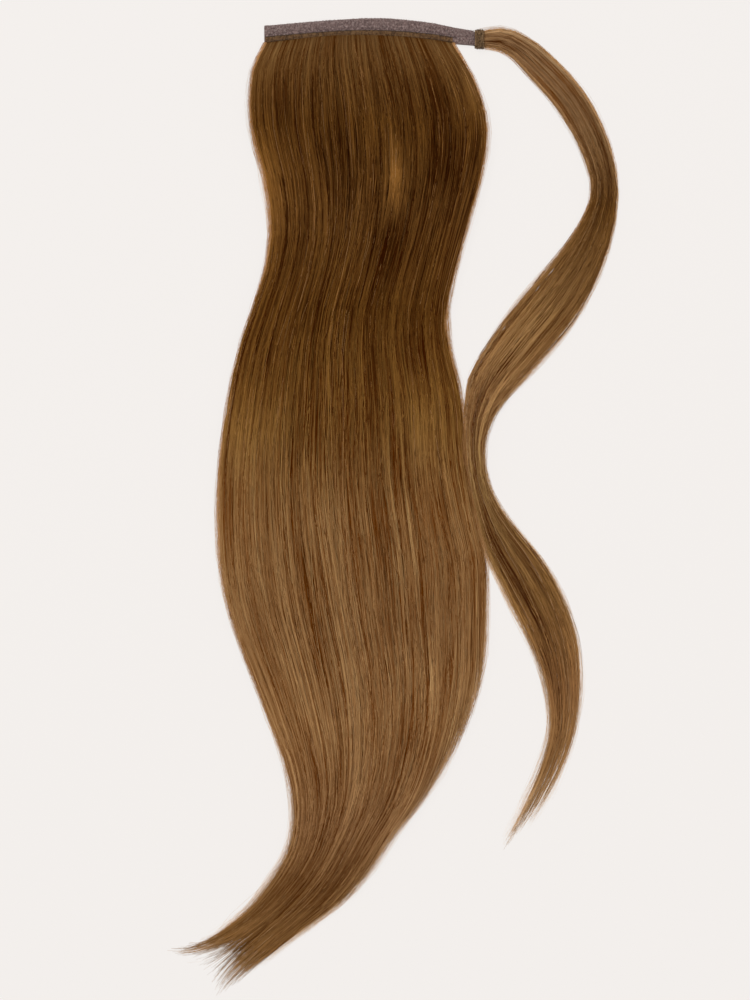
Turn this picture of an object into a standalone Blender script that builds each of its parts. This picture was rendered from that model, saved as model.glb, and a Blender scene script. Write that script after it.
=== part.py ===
"""Wrap-around ponytail hairpiece, lying face up and combed straight on a flat surface.

A fall of hair hangs from a sewn weft on a strip of soft loop tape. The strip runs on past the
weft as a short tab, whose end is whipped with thread to a long wrapping strand of hair.
+Y runs from the tips to the tape, +X to the viewer's right, and +Z up from the surface.
All sizes are in millimetres, and become metres where a mesh is made.
"""

import math
from collections import namedtuple

import bmesh
import bpy
from mathutils import Matrix, Vector

MM = 0.001
WELD_DISTANCE = 0.01

# Clearances
SEAT_GAP = 0.3
UNION_OVERLAP = 0.5

# Loop tape: a woven ground with a raised band of soft loops
TAPE_BACK_Z = 1.5
GROUND_THICKNESS = 1.0
PILE_HEIGHT = 0.9
PILE_INSET = 0.3
TAB_START_X = 33.5
TAB_END_X = 45.5
TAPE_STEP = 4.0
TapeRow = namedtuple("TapeRow", "x top pile width")
TAPE_ROWS = (
    TapeRow(-76.1, 271.7, 6.2, 11.6),
    TapeRow(-33.0, 275.2, 6.3, 11.6),
    TapeRow(-8.0, 275.9, 6.8, 11.6),
    TapeRow(17.8, 273.4, 6.2, 11.0),
    TapeRow(32.5, 270.5, 5.5, 9.2),
    TapeRow(42.4, 268.9, 5.5, 8.4),
    TapeRow(43.0, 267.7, 5.5, 7.4),
    TapeRow(TAB_END_X, 267.7, 5.5, 7.4),
)

# Hook patch, sewn under the tab
PATCH_LENGTH = 18.0
PATCH_WIDTH = 7.4
PATCH_THICKNESS = 1.2
PATCH_CENTRE = (32.5, 266.0)
PATCH_TURN_DEG = -9.0
PATCH_CORNER = 1.2
PATCH_CORNER_STEPS = 3

# Sewn weft, which carries the hair
BAND_LEFT_X = -75.4
BAND_RIGHT_X = 30.6
BAND_WIDTH = 3.1
BAND_THICKNESS = 1.6
BAND_STATIONS = 31
BAND_SIDES = 12
BAND_RIBS = 3
BAND_RIB_DEPTH = 0.12

# Thread whipping, a sleeve round the end of the tab and the root of the strand
WHIPPING_CENTRE = (45.8, 264.0, 2.75)
WHIPPING_LENGTH = 5.2
WHIPPING_INNER = (4.35, 1.85)
WHIPPING_WALL = 0.6
WHIPPING_TURNS = 5
WHIPPING_RIDGE = 0.2
WHIPPING_SQUARENESS = 4.0
WHIPPING_SIDES = 24
STEPS_PER_TURN = 4

# Hair sections: a flat underside, a crowned top, and soft edges
EDGE_HEIGHT_SHARE = 0.28
CROWN_POWER = 2.4
CROWN_ROUNDNESS = 0.6
UNDERSIDE_POWER = 8.0
UNDERSIDE_ROUNDNESS = 0.5
GROOVE_EDGE_POWER = 4.0
GROOVE_DEPTH = 0.9
GROOVE_CROWN_SHARE = 0.08
GROOVELESS_CROWN = 3.6
POINTS_PER_LOCK = 4
LOCK_PROFILE = (0.0, 0.72, 1.0, 0.72)

# Main fall: both edges of each section, its height, and how much it follows the weft's bow
FALL_LOCKS = 9
FALL_UNDERSIDE_POINTS = 9
FALL_STEPS = 2
FallRow = namedtuple("FallRow", "left_x left_y right_x right_y crown under bow")
FALL_ROWS = (
    FallRow(-75.0, 261.2, 30.6, 261.2, 1.7, 2.8, 1.0),
    FallRow(-75.6, 258.8, 31.8, 258.8, 2.8, 2.8, 1.0),
    FallRow(-79.0, 254.8, 35.4, 253.8, 7.0, 0.9, 0.9),
    FallRow(-84.1, 243.4, 44.4, 240.5, 12.0, 0.0, 0.6),
    FallRow(-86.0, 226.4, 52.4, 223.6, 16.0, 0.0, 0.2),
    FallRow(-84.1, 207.7, 52.4, 206.6, 17.5, 0.0, 0.0),
    FallRow(-77.3, 183.9, 48.4, 183.9, 18.0, 0.0, 0.0),
    FallRow(-73.3, 155.6, 39.9, 155.6, 17.5, 0.0, 0.0),
    FallRow(-76.7, 131.9, 32.8, 130.2, 17.0, 0.0, 0.0),
    FallRow(-84.1, 110.4, 28.3, 107.5, 16.0, 0.0, 0.0),
    FallRow(-92.0, 86.0, 30.8, 84.9, 15.0, 0.0, 0.0),
    FallRow(-98.2, 56.6, 35.7, 56.6, 14.5, 0.0, 0.0),
    FallRow(-102.2, 25.5, 37.9, 25.5, 14.0, 0.0, 0.0),
    FallRow(-103.3, -5.7, 43.3, -5.7, 14.0, 0.0, 0.0),
    FallRow(-101.6, -37.9, 49.8, -35.7, 14.0, 0.0, 0.0),
    FallRow(-94.8, -67.9, 50.9, -66.2, 14.0, 0.0, 0.0),
    FallRow(-84.6, -94.5, 48.4, -94.5, 14.0, 0.0, 0.0),
    FallRow(-73.9, -122.8, 39.3, -122.8, 14.0, 0.0, 0.0),
    FallRow(-64.8, -146.6, 25.8, -148.9, 13.5, 0.0, 0.0),
    FallRow(-60.3, -167.0, 12.2, -169.8, 13.0, 0.0, 0.0),
    FallRow(-60.8, -185.1, -2.5, -187.3, 12.0, 0.0, 0.0),
    FallRow(-64.8, -198.7, -16.1, -207.7, 10.5, 0.0, 0.0),
    FallRow(-73.9, -213.4, -30.3, -224.1, 8.5, 0.0, 0.0),
    FallRow(-85.7, -228.1, -45.6, -236.0, 6.0, 0.0, 0.0),
    FallRow(-97.6, -238.9, -62.5, -248.5, 3.2, 0.0, 0.0),
)

# Wrapping strand: the middle of each section, its width and its height
STRAND_LOCKS = 3
STRAND_UNDERSIDE_POINTS = 5
STRAND_STEPS = 2
StrandRow = namedtuple("StrandRow", "x y width crown under")
STRAND_ROWS = (
    StrandRow(45.9, 264.0, 7.4, 2.8, 1.35),
    StrandRow(48.5, 264.0, 7.4, 2.8, 1.35),
    StrandRow(50.2, 264.2, 8.8, 4.4, 0.5),
    StrandRow(59.7, 263.6, 13.1, 6.5, 0.0),
    StrandRow(67.9, 259.4, 15.4, 7.0, 0.0),
    StrandRow(77.0, 251.9, 18.1, 7.0, 0.0),
    StrandRow(97.4, 229.2, 19.0, 7.0, 0.0),
    StrandRow(111.5, 202.3, 17.2, 7.5, 0.0),
    StrandRow(116.9, 176.3, 15.9, 8.0, 0.0),
    StrandRow(109.0, 148.3, 22.9, 7.0, 0.0),
    StrandRow(90.6, 117.7, 31.4, 5.5, 0.0),
    StrandRow(71.3, 94.0, 31.6, 5.5, 0.0),
    StrandRow(54.1, 71.3, 26.4, 6.5, 0.0),
    StrandRow(48.4, 59.4, 20.8, 7.5, 0.0),
    StrandRow(44.9, 47.5, 15.2, 8.5, 0.0),
    StrandRow(43.7, 33.4, 10.9, 9.5, 0.0),
    StrandRow(44.9, 18.4, 10.3, 9.5, 0.0),
    StrandRow(47.9, 5.7, 11.7, 9.0, 0.0),
    StrandRow(52.2, -5.7, 15.7, 8.0, 0.0),
    StrandRow(57.5, -17.0, 21.6, 7.0, 0.0),
    StrandRow(72.7, -42.7, 29.7, 5.5, 0.0),
    StrandRow(86.0, -71.0, 28.3, 5.5, 0.0),
    StrandRow(92.3, -99.0, 22.2, 5.5, 0.0),
    StrandRow(92.5, -126.5, 15.9, 5.0, 0.0),
    StrandRow(85.5, -150.3, 12.2, 4.0, 0.0),
    StrandRow(74.1, -173.5, 8.5, 2.8, 0.0),
    StrandRow(67.6, -183.7, 4.6, 1.8, 0.0),
    StrandRow(62.0, -192.4, 1.2, 0.8, 0.0),
)

# Pointed locks that the hair parts into at its tips
TIP_SIDES = 8
TIP_STATIONS = 9
TIP_LIFT = 0.15
TIP_POINT_SHARE = 0.12
TipLock = namedtuple("TipLock", "start bend end width height")
FALL_TIPS = (
    TipLock((-66, -217), (-92, -252), (-124.6, -248.6), 9.0, 3.2),
    TipLock((-62, -220), (-88, -252), (-117.0, -251.8), 8.5, 3.0),
    TipLock((-55, -220), (-82, -250), (-102.4, -275.6), 10.5, 3.6),
    TipLock((-50, -220), (-76, -250), (-95.0, -269.5), 10.0, 3.4),
    TipLock((-45, -222), (-70, -249), (-86.0, -264.0), 9.0, 3.2),
    TipLock((-38, -222), (-62, -246), (-76.0, -256.5), 7.5, 3.0),
)
STRAND_TIPS = (
    TipLock((88.5, -138), (87.0, -156), (79.5, -176.0), 4.0, 2.4),
    TipLock((79.0, -158), (70.0, -176), (58.8, -190.0), 4.0, 2.2),
)

# Finishes
Finish = namedtuple("Finish", "colour roughness metallic")
FINISHES = {
    "loop_pile": Finish("#7A6561", 0.95, 0.0),
    "hook_nylon": Finish("#5C4B48", 0.7, 0.0),
    "weft_thread": Finish("#604123", 0.8, 0.0),
    "whipping_thread": Finish("#5A442B", 0.8, 0.0),
    "fall_hair": Finish("#6E4A25", 0.42, 0.0),
    "strand_hair": Finish("#7A5530", 0.42, 0.0),
}


def linear(hex_colour):
    """Linear colour of an sRGB hex string."""
    values = [int(hex_colour[i : i + 2], 16) / 255 for i in (1, 3, 5)]
    return [v / 12.92 if v <= 0.04045 else ((v + 0.055) / 1.055) ** 2.4 for v in values]


def finish(name):
    """The material of that name."""
    material = bpy.data.materials.new(name)
    material.use_nodes = True
    shader = material.node_tree.nodes["Principled BSDF"]
    given = FINISHES[name]
    shader.inputs["Base Color"].default_value = (*linear(given.colour), 1.0)
    shader.inputs["Roughness"].default_value = given.roughness
    shader.inputs["Metallic"].default_value = given.metallic
    return material


def through(rows, along, where):
    """The row's values at a place, on a smooth curve through every row."""
    last = len(rows) - 1
    i = max(0, min(last - 1, next((k for k in range(last) if where <= along[k + 1]), last - 1)))
    span = along[i + 1] - along[i]
    t = (where - along[i]) / span

    def slope(k, column):
        low, high = max(0, k - 1), min(last, k + 1)
        return (rows[high][column] - rows[low][column]) / (along[high] - along[low])

    values = []
    for column, (first, second) in enumerate(zip(rows[i], rows[i + 1])):
        values.append(
            (2 * t**3 - 3 * t**2 + 1) * first
            + (t**3 - 2 * t**2 + t) * span * slope(i, column)
            + (3 * t**2 - 2 * t**3) * second
            + (t**3 - t**2) * span * slope(i + 1, column)
        )
    return type(rows[0])(*values)


def refined(rows, middle, steps):
    """The rows with steps between each two, spaced by the length of the line through their middles."""
    along = [0.0]
    for first, second in zip(rows, rows[1:]):
        along.append(along[-1] + (middle(second) - middle(first)).length)
    places = [
        along[i] + (along[i + 1] - along[i]) * step / steps
        for i in range(len(rows) - 1)
        for step in range(steps)
    ]
    return [through(rows, along, place) for place in [*places, along[-1]]]


def tape_at(x):
    """The tape's sizes at x, straight between rows where the tab narrows."""
    rows = TAPE_ROWS
    if x > rows[-3].x:
        low = next(row for row in reversed(rows[:-1]) if row.x <= x)
        high = rows[rows.index(low) + 1]
        share = (x - low.x) / (high.x - low.x)
        return TapeRow(*(a + (b - a) * share for a, b in zip(low, high)))
    return through(rows[:-2], [row.x for row in rows[:-2]], x)


def band_lower_edge(x):
    """Y of the weft's lower edge at x."""
    row = tape_at(x)
    return row.top - row.pile - SEAT_GAP - BAND_WIDTH


def new_object(name, mesh, material, collection):
    """An object of the mesh, in the collection, with its material."""
    made = bpy.data.objects.new(name, mesh)
    collection.objects.link(made)
    made.data.materials.append(material)
    return made


def loft(name, rings, material, collection, closed_loop=False):
    """A closed solid through rings of points, with fans over its two ends, or a ring of rings."""
    shape = bmesh.new()
    made = [[shape.verts.new(Vector(p) * MM) for p in ring] for ring in rings]
    pairs = list(zip(made, made[1:]))
    if closed_loop:
        pairs.append((made[-1], made[0]))
    for first, second in pairs:
        for i in range(len(first)):
            j = (i + 1) % len(first)
            shape.faces.new((first[i], first[j], second[j], second[i]))
    if not closed_loop:
        for ring in (made[0], made[-1]):
            centre = shape.verts.new(sum((v.co for v in ring), Vector()) / len(ring))
            for i in range(len(ring)):
                shape.faces.new((ring[i], ring[(i + 1) % len(ring)], centre))
    bmesh.ops.recalc_face_normals(shape, faces=shape.faces)
    mesh = bpy.data.meshes.new(name)
    shape.to_mesh(mesh)
    shape.free()
    mesh.shade_smooth()
    return new_object(name, mesh, material, collection)


def plate(name, outline, low_z, high_z, material, collection):
    """A flat plate of that outline, as a mesh, between two heights."""
    curve = bpy.data.curves.new(name, "CURVE")
    curve.dimensions = "2D"
    curve.fill_mode = "BOTH"
    curve.extrude = (high_z - low_z) / 2 * MM
    line = curve.splines.new("POLY")
    line.points.add(len(outline) - 1)
    for point, (x, y) in zip(line.points, outline):
        point.co = (x * MM, y * MM, 0.0, 1.0)
    line.use_cyclic_u = True
    drawn = bpy.data.objects.new(name + "_outline", curve)
    bpy.context.scene.collection.objects.link(drawn)
    drawn.location.z = (low_z + high_z) / 2 * MM
    bpy.context.view_layer.update()
    seen = drawn.evaluated_get(bpy.context.evaluated_depsgraph_get())
    mesh = bpy.data.meshes.new_from_object(seen)
    shape = bmesh.new()
    shape.from_mesh(mesh)
    bmesh.ops.remove_doubles(shape, verts=shape.verts, dist=WELD_DISTANCE * MM)
    bmesh.ops.recalc_face_normals(shape, faces=shape.faces)
    shape.to_mesh(mesh)
    shape.free()
    mesh.name = name
    mesh.materials.clear()
    made = new_object(name, mesh, material, collection)
    made.matrix_world = drawn.matrix_world
    bpy.data.objects.remove(drawn)
    return made


def fuse(base, added):
    """Joins a helper solid to the base with a Boolean union."""
    added.hide_render = True
    added.display_type = "WIRE"
    join = base.modifiers.new("join_" + added.name, "BOOLEAN")
    join.operation = "UNION"
    join.solver = "EXACT"
    join.object = added


def spaced(low, high, step):
    """Numbers from low to high, about a step apart."""
    count = max(1, round((high - low) / step))
    return [low + (high - low) * i / count for i in range(count + 1)]


def make_loop_tape(parts, cutters):
    """The tape: its ground strip, with the raised pile fused on."""
    material = finish("loop_pile")
    left = TAPE_ROWS[0].x
    narrowing = [row.x for row in TAPE_ROWS[-3:]]
    along = [*spaced(left, TAB_START_X, TAPE_STEP), *narrowing]
    edge = [(x, tape_at(x).top) for x in along]
    edge += [(x, tape_at(x).top - tape_at(x).width) for x in reversed(along)]
    ground_top = TAPE_BACK_Z + GROUND_THICKNESS
    tape = plate("loop_tape", edge, TAPE_BACK_Z, ground_top, material, parts)

    sewn = spaced(left + PILE_INSET, TAB_START_X, TAPE_STEP)
    tab = [TAB_START_X, narrowing[0] - PILE_INSET, narrowing[1] - PILE_INSET, TAB_END_X - PILE_INSET]
    pile = [(x, tape_at(x).top - PILE_INSET) for x in [*sewn, *tab[1:]]]
    pile += [(x, tape_at(x).top - tape_at(x).width + PILE_INSET) for x in reversed(tab)]
    pile += [(x, tape_at(x).top - tape_at(x).pile) for x in reversed(sewn)]
    low_z = ground_top - UNION_OVERLAP
    fuse(tape, plate("tape_pile", pile, low_z, ground_top + PILE_HEIGHT, material, cutters))


def make_hook_patch(parts):
    """The plain hook patch under the tab."""
    half_x = PATCH_LENGTH / 2 - PATCH_CORNER
    half_y = PATCH_WIDTH / 2 - PATCH_CORNER
    turn = Matrix.Rotation(math.radians(PATCH_TURN_DEG), 2)
    corners = ((half_x, half_y), (-half_x, half_y), (-half_x, -half_y), (half_x, -half_y))
    outline = []
    for quarter, corner in enumerate(corners):
        for step in range(PATCH_CORNER_STEPS + 1):
            angle = math.pi / 2 * (quarter + step / PATCH_CORNER_STEPS)
            spoke = Vector((math.cos(angle), math.sin(angle))) * PATCH_CORNER
            outline.append(Vector(PATCH_CENTRE) + turn @ (Vector(corner) + spoke))
    plate("hook_patch", outline, 0.0, PATCH_THICKNESS, finish("hook_nylon"), parts)


def make_weft_band(parts):
    """The sewn weft: a flat cord of stitched ribs that follows the tape's bow."""
    middle_z = TAPE_BACK_Z + GROUND_THICKNESS + SEAT_GAP + BAND_THICKNESS / 2
    rings = []
    for i in range(BAND_STATIONS):
        x = BAND_LEFT_X + (BAND_RIGHT_X - BAND_LEFT_X) * i / (BAND_STATIONS - 1)
        middle_y = band_lower_edge(x) + BAND_WIDTH / 2
        ring = []
        for side in range(BAND_SIDES):
            angle = 2 * math.pi * side / BAND_SIDES
            across, up = math.cos(angle), math.sin(angle)
            seam = (1 + math.cos(BAND_RIBS * math.pi * across)) / 2
            height = BAND_THICKNESS / 2 - BAND_RIB_DEPTH * seam * abs(up)
            ring.append((x, middle_y + BAND_WIDTH / 2 * across, middle_z + height * up))
        rings.append(ring)
    loft("weft_band", rings, finish("weft_thread"), parts)


def squared_oval(angle, half_y, half_z):
    """A point of an oval with squared sides, as (y, z) from its middle."""
    power = 2 / WHIPPING_SQUARENESS
    across, up = math.cos(angle), math.sin(angle)
    return (
        half_y * math.copysign(abs(across) ** power, across),
        half_z * math.copysign(abs(up) ** power, up),
    )


def make_wrap_binding(parts):
    """The whipping: turns of thread as one ridged sleeve, open right through."""
    steps = WHIPPING_TURNS * STEPS_PER_TURN
    low_x = WHIPPING_CENTRE[0] - WHIPPING_LENGTH / 2
    section = []
    for i in range(steps + 1):
        ridge = WHIPPING_RIDGE * math.sin(math.pi * WHIPPING_TURNS * i / steps) ** 2
        section.append((low_x + WHIPPING_LENGTH * i / steps, WHIPPING_WALL + ridge))
    section += [(low_x + WHIPPING_LENGTH, 0.0), (low_x, 0.0)]
    rings = []
    for side in range(WHIPPING_SIDES):
        angle = 2 * math.pi * (side + 0.5) / WHIPPING_SIDES
        ring = []
        for x, wall in section:
            y, z = squared_oval(angle, WHIPPING_INNER[0] + wall, WHIPPING_INNER[1] + wall)
            ring.append((x, WHIPPING_CENTRE[1] + y, WHIPPING_CENTRE[2] + z))
        rings.append(ring)
    loft("wrap_binding", rings, finish("whipping_thread"), parts, closed_loop=True)


def hair_ring(left, right, crown, under, locks, underside_points, bow=lambda u: 0.0):
    """One section of combed hair between its two edges: crowned and grooved above, flat below."""
    edge_z = under + EDGE_HEIGHT_SHARE * crown
    groove = min(GROOVE_DEPTH, GROOVE_CROWN_SHARE * max(0.0, crown - GROOVELESS_CROWN))

    def place(u, z):
        point = left.lerp(right, u)
        return (point.x, point.y + bow(u), z)

    ring = []
    count = locks * POINTS_PER_LOCK
    for k in range(count + 1):
        u = k / count
        side = abs(2 * u - 1)
        rise = (1 - side**CROWN_POWER) ** CROWN_ROUNDNESS
        dip = groove * (1 - LOCK_PROFILE[k % POINTS_PER_LOCK]) * (1 - side**GROOVE_EDGE_POWER)
        ring.append(place(u, edge_z + (under + crown - edge_z) * rise - dip))
    for k in range(underside_points, 0, -1):
        u = k / (underside_points + 1)
        drop = (1 - abs(2 * u - 1) ** UNDERSIDE_POWER) ** UNDERSIDE_ROUNDNESS
        ring.append(place(u, edge_z - (edge_z - under) * drop))
    return ring


def fall_middle(row):
    """The middle of a section of the main fall."""
    return Vector(((row.left_x + row.right_x) / 2, (row.left_y + row.right_y) / 2))


def make_tip_lock(name, tip, material, cutters):
    """A pointed lock along a bent line, as a helper solid."""
    start, bend, end = (Vector(p) for p in (tip.start, tip.bend, tip.end))
    rings = []
    for i in range(TIP_STATIONS):
        t = i / (TIP_STATIONS - 1)
        middle = start * (1 - t) ** 2 + bend * 2 * t * (1 - t) + end * t**2
        heading = ((bend - start) * (1 - t) + (end - bend) * t).normalized()
        across = Vector((-heading.y, heading.x))
        share = TIP_POINT_SHARE + (1 - TIP_POINT_SHARE) * (1 - t**2)
        ring = []
        for side in range(TIP_SIDES):
            angle = 2 * math.pi * (side + 0.5) / TIP_SIDES
            point = middle + across * (tip.width / 2 * share * math.cos(angle))
            z = TIP_LIFT + tip.height / 2 * share * (1 + math.sin(angle))
            ring.append((point.x, point.y, z))
        rings.append(ring)
    return loft(name, rings, material, cutters)


def make_hair_fall(parts, cutters):
    """The main fall of hair, with its tip locks fused on."""
    material = finish("fall_hair")
    root = FALL_ROWS[0]
    rings = []
    for row in refined(FALL_ROWS, fall_middle, FALL_STEPS):
        left, right = Vector((row.left_x, row.left_y)), Vector((row.right_x, row.right_y))

        def bow(u, row=row):
            x = root.left_x + (root.right_x - root.left_x) * u
            return row.bow * (band_lower_edge(x) - SEAT_GAP - root.left_y)

        under = max(0.0, row.under)
        rings.append(hair_ring(left, right, row.crown, under, FALL_LOCKS, FALL_UNDERSIDE_POINTS, bow))
    fall = loft("hair_fall", rings, material, parts)
    for number, tip in enumerate(FALL_TIPS):
        fuse(fall, make_tip_lock(f"fall_tip_{number}", tip, material, cutters))


def make_wrap_strand(parts, cutters):
    """The long wrapping strand, with its tip locks fused on."""
    material = finish("strand_hair")
    rows = refined(STRAND_ROWS, lambda row: Vector((row.x, row.y)), STRAND_STEPS)
    rings = []
    for i, row in enumerate(rows):
        before, after = rows[max(0, i - 1)], rows[min(len(rows) - 1, i + 1)]
        heading = Vector((after.x - before.x, after.y - before.y)).normalized()
        across = Vector((-heading.y, heading.x)) * (row.width / 2)
        edges = (Vector((row.x, row.y)) + across, Vector((row.x, row.y)) - across)
        under = max(0.0, row.under)
        rings.append(hair_ring(*edges, row.crown, under, STRAND_LOCKS, STRAND_UNDERSIDE_POINTS))
    strand = loft("wrap_strand", rings, material, parts)
    for number, tip in enumerate(STRAND_TIPS):
        fuse(strand, make_tip_lock(f"strand_tip_{number}", tip, material, cutters))


def main():
    """Clears the scene and builds the hairpiece."""
    for old in list(bpy.data.objects):
        bpy.data.objects.remove(old)
    parts = bpy.data.collections.new("ponytail_hairpiece")
    cutters = bpy.data.collections.new("cutters")
    for collection in (parts, cutters):
        bpy.context.scene.collection.children.link(collection)
    make_loop_tape(parts, cutters)
    make_hook_patch(parts)
    make_weft_band(parts)
    make_wrap_binding(parts)
    make_hair_fall(parts, cutters)
    make_wrap_strand(parts, cutters)


main()
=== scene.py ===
"""Dresses the wrap-around ponytail hairpiece for a studio picture, lying face up on a pale surface.

The hair is combed in thousands of fine strands over a soft inner form, the loop tape carries a
pile of small thread loops, the weft has its rows of stitches and the wrapping strand is whipped
to the tape's tab with thread. Sizes are in millimetres in the object's own frame: +Y runs from
the tips to the tape, +X to the right and +Z up from the surface.
"""

import logging
import math
from dataclasses import dataclass, field
from enum import Enum
from typing import NamedTuple, Optional, Sequence

import bpy
import numpy as np
from bpy.types import Material, Node, NodeSocket, NodeTree, Object
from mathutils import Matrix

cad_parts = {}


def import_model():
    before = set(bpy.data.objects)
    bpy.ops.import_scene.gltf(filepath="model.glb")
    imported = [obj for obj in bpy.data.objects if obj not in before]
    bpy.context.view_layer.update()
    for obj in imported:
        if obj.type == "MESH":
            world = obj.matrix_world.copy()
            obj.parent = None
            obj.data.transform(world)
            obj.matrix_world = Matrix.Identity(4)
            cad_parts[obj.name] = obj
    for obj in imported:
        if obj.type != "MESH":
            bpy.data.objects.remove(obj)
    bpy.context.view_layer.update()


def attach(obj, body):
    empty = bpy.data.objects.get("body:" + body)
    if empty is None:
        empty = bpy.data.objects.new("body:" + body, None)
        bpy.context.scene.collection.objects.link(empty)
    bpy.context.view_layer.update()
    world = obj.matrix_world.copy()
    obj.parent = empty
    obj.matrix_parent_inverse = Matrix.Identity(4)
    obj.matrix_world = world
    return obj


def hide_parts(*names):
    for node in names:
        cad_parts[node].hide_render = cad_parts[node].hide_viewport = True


Array = np.ndarray
Chance = np.random.Generator
Pair = tuple[float, float]

MM = 0.001
BODY = "root"
SEED = 20
FIELD_STRENGTH = 0.6
STREAK_SPACING_MM = 7.3
FORM_TONES = ((0.0, 0.05, 0.8, 1.0), (-0.2, 0.1, 0.1, 0.45))

log = logging.getLogger("ponytail")


class Piece(Enum):
    """Names of the pieces that this script adds."""

    FALL_FORM = "fall_form"
    FALL_HAIR = "fall_hair"
    FALL_VEIL = "fall_veil"
    FALL_STRAYS = "fall_strays"
    FALL_WISPS = "fall_wisps"
    STRAND_FORM = "strand_form"
    STRAND_HAIR = "strand_hair"
    STRAND_VEIL = "strand_veil"
    STRAND_STRAYS = "strand_strays"
    STRAND_WISPS = "strand_wisps"
    TAPE_LOOPS = "tape_loops"
    WEFT_STITCHES = "weft_stitches"
    WHIPPING_TURNS = "whipping_turns"
    FLOOR = "floor"


class FallRow(NamedTuple):
    """A section of the main fall: its edges, height and lift, and its share of the weft's bow."""

    left_x: float
    left_y: float
    right_x: float
    right_y: float
    crown: float
    under: float = 0.0
    bow: float = 0.0


class StrandRow(NamedTuple):
    """A section of the wrapping strand: its middle, width, height and lift."""

    x: float
    y: float
    width: float
    crown: float
    under: float = 0.0


class TapeRow(NamedTuple):
    """The tape at one place: its upper edge, the depth of its pile and its whole width."""

    x: float
    top: float
    pile: float
    width: float


class TipLine(NamedTuple):
    """Where the longest fibres end at the tips, for one place across the hair.

    The last column is how much shorter its other fibres stay, as a share of the hair's length.
    """

    across: float
    x: float
    y: float
    shorter: float


class StitchRow(NamedTuple):
    """A row of stitches on the weft: its start, run in pitches, both ends across, and rise."""

    start: float
    run: float
    low: float
    high: float
    bend: float


class Winding(NamedTuple):
    """A thread wound on the sleeve: its ends in shares of the reach, turns, start and rise."""

    first: float
    last: float
    turns: float
    start: float
    rise: float


class PaintedLightSpot(NamedTuple):
    """A soft patch of painted highlight on the hair, or painted shade if the gain is negative."""

    x: float
    y: float
    half_width: float
    half_length: float
    gain: float


class FibreColourAndPaintedLight(NamedTuple):
    """The darkest and lightest fibres at one place, root 0 to tips 1; part dye, part painted light.
    """

    place: float
    dark: str
    light: str


class SoftLight(NamedTuple):
    """A soft square light: its place and side in millimetres, and its power in watts."""

    name: str
    place: tuple[float, float, float]
    size: float
    power: float


class Place(Enum):
    """Where across the root a layer's fibres start."""

    ALL_OVER = "all over"
    EDGES = "edges"


class FibreLayer(NamedTuple):
    """A layer of fibres of one kind, made as one or more pieces."""

    piece: Piece
    pieces: int
    count: int
    place: Place
    thickness_mm: float
    stray_mm: float
    looseness: float
    long_share: float
    loose: bool


class StreakLayer(NamedTuple):
    """Chance streaks in the hair's tone: their width across it, their length and their strength."""

    width_mm: float
    length_mm: float
    strength: float


FALL_ROWS = tuple(FallRow(*row) for row in (
    (-75, 261.2, 30.6, 261.2, 1.7, 2.8, 1),
    (-75.6, 258.8, 31.8, 258.8, 2.8, 2.8, 1),
    (-79, 254.8, 35.4, 253.8, 7, 0.9, 0.9),
    (-84.1, 243.4, 43.8, 240.5, 12, 0, 0.6),
    (-86, 226.4, 50.8, 223.6, 16, 0, 0.2),
    (-84.1, 207.7, 52.6, 206.6, 17.5),
    (-77.3, 183.9, 48.4, 183.9, 18),
    (-73.3, 155.6, 39.9, 155.6, 17.5),
    (-76.7, 131.9, 32.8, 130.2, 17),
    (-84.1, 110.4, 28.3, 107.5, 16),
    (-92, 86, 30.8, 84.9, 15),
    (-98.2, 56.6, 35.7, 56.6, 14.5),
    (-102.2, 25.5, 37.9, 25.5, 14),
    (-103.3, -5.7, 43.3, -5.7, 14),
    (-101.6, -37.9, 49.8, -35.7, 14),
    (-94.8, -67.9, 50.9, -66.2, 14),
    (-84.6, -94.5, 48.4, -94.5, 14),
    (-73.9, -122.8, 39.3, -122.8, 14),
    (-64.8, -146.6, 25.8, -148.9, 13.5),
    (-60.3, -167, 12.2, -169.8, 13),
    (-60.8, -185.1, -2.5, -187.3, 12),
    (-64.8, -198.7, -16.1, -207.7, 10.5),
    (-73.9, -213.4, -30.3, -224.1, 8.5),
    (-85.7, -228.1, -45.6, -236, 6),
    (-97.6, -238.9, -62.5, -248.5, 3.2),
))
STRAND_ROWS = tuple(StrandRow(*row) for row in (
    (45.9, 264, 7.4, 2.8, 1.35),
    (48.5, 264, 7.4, 2.8, 1.35),
    (50.2, 264.2, 8.8, 4.4, 0.5),
    (59.7, 263.6, 13.1, 6.5),
    (67.9, 259.4, 15.4, 7),
    (77, 251.9, 18.1, 7),
    (97.4, 229.2, 19, 7),
    (111.5, 202.3, 17.2, 7.5),
    (116.9, 176.3, 15.9, 8),
    (109, 148.3, 22.9, 7),
    (90.6, 117.7, 31.4, 5.5),
    (71.3, 94, 31.6, 5.5),
    (54.1, 71.3, 26.4, 6.5),
    (48.4, 59.4, 20.8, 7.5),
    (44.9, 47.5, 15.2, 8.5),
    (43.7, 33.4, 10.9, 9.5),
    (44.9, 18.4, 10.3, 9.5),
    (47.9, 5.7, 11.7, 9),
    (52.2, -5.7, 15.7, 8),
    (57.5, -17, 21.6, 7),
    (72.7, -42.7, 29.7, 5.5),
    (86, -71, 28.3, 5.5),
    (92.3, -99, 22.2, 5.5),
    (92.5, -126.5, 15.9, 5),
    (85.5, -150.3, 13, 4),
    (74.1, -173.5, 10.5, 2.8),
    (67.6, -183.7, 7.6, 1.8),
    (61, -194.4, 4.6, 0.8),
))
TAPE_ROWS = tuple(TapeRow(*row) for row in (
    (-76.1, 271.7, 6.2, 11.6),
    (-33, 275.2, 6.3, 11.6),
    (-8, 275.9, 6.8, 11.6),
    (17.8, 273.4, 6.2, 11),
    (32.5, 270.5, 5.5, 9.2),
    (42.4, 268.9, 5.5, 8.4),
))
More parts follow.
